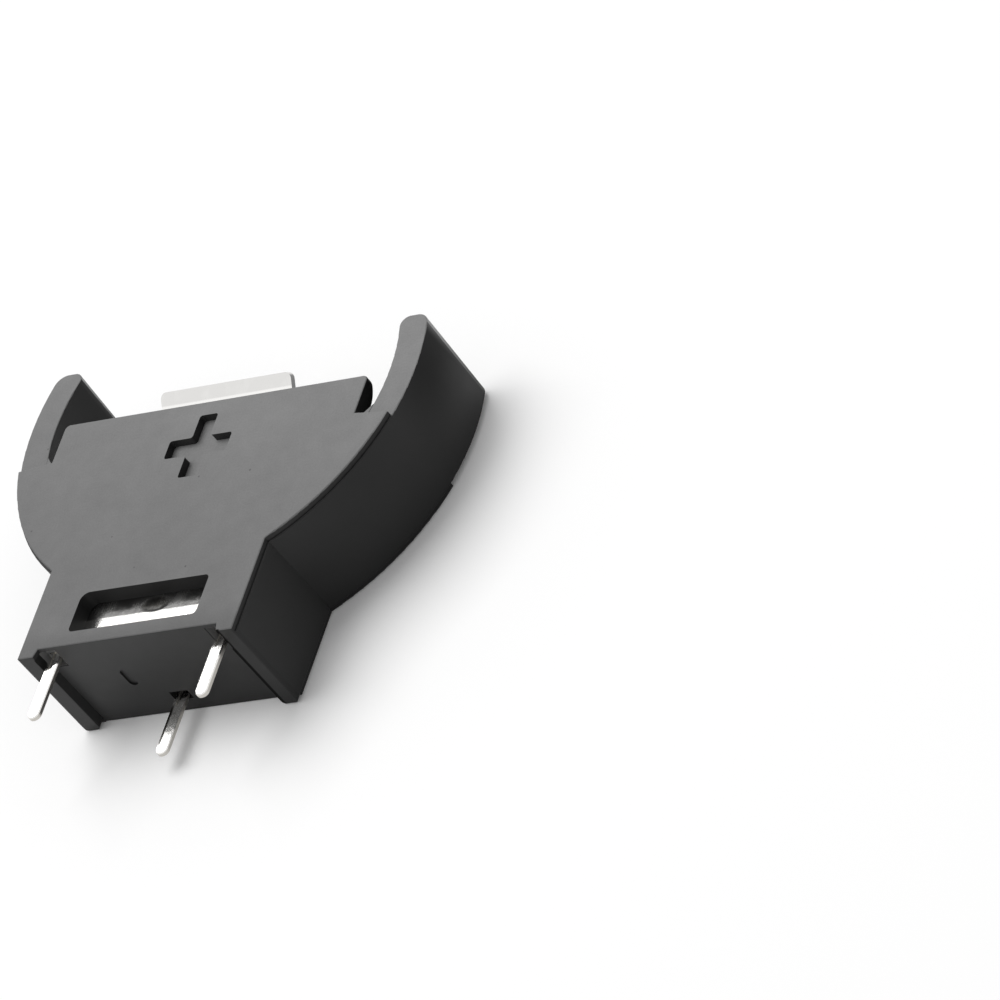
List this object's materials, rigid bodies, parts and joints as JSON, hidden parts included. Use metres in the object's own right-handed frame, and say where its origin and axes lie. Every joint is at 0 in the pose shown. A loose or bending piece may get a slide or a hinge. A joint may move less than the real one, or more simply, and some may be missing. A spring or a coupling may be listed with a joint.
{
  "type": "coin cell holder",
  "caption": "Upright through-hole holder: a black moulded cradle with open-topped slot grips a coin cell between a flat lipped contact and a bowed spring contact.",
  "frame": {"origin": "on the plane of the back panel's outer face, below the middle of the overall box", "axes": "+X across the holder, +Y from the board towards the coin's mouth, so the pins point to -Y, and +Z from the back panel to the front one with the polarity mark"},
  "size_m": [0.0236, 0.0212, 0.0059],
  "materials": {
    "black_plastic": "fine spark-eroded grain on the faces, smoother side walls",
    "plated_contact": "bright tin plate"
  },
  "bodies": {
    "root": {"housing": "black_plastic", "positive_contact": "plated_contact", "negative_contact": "plated_contact"}
  },
  "joints": []
}
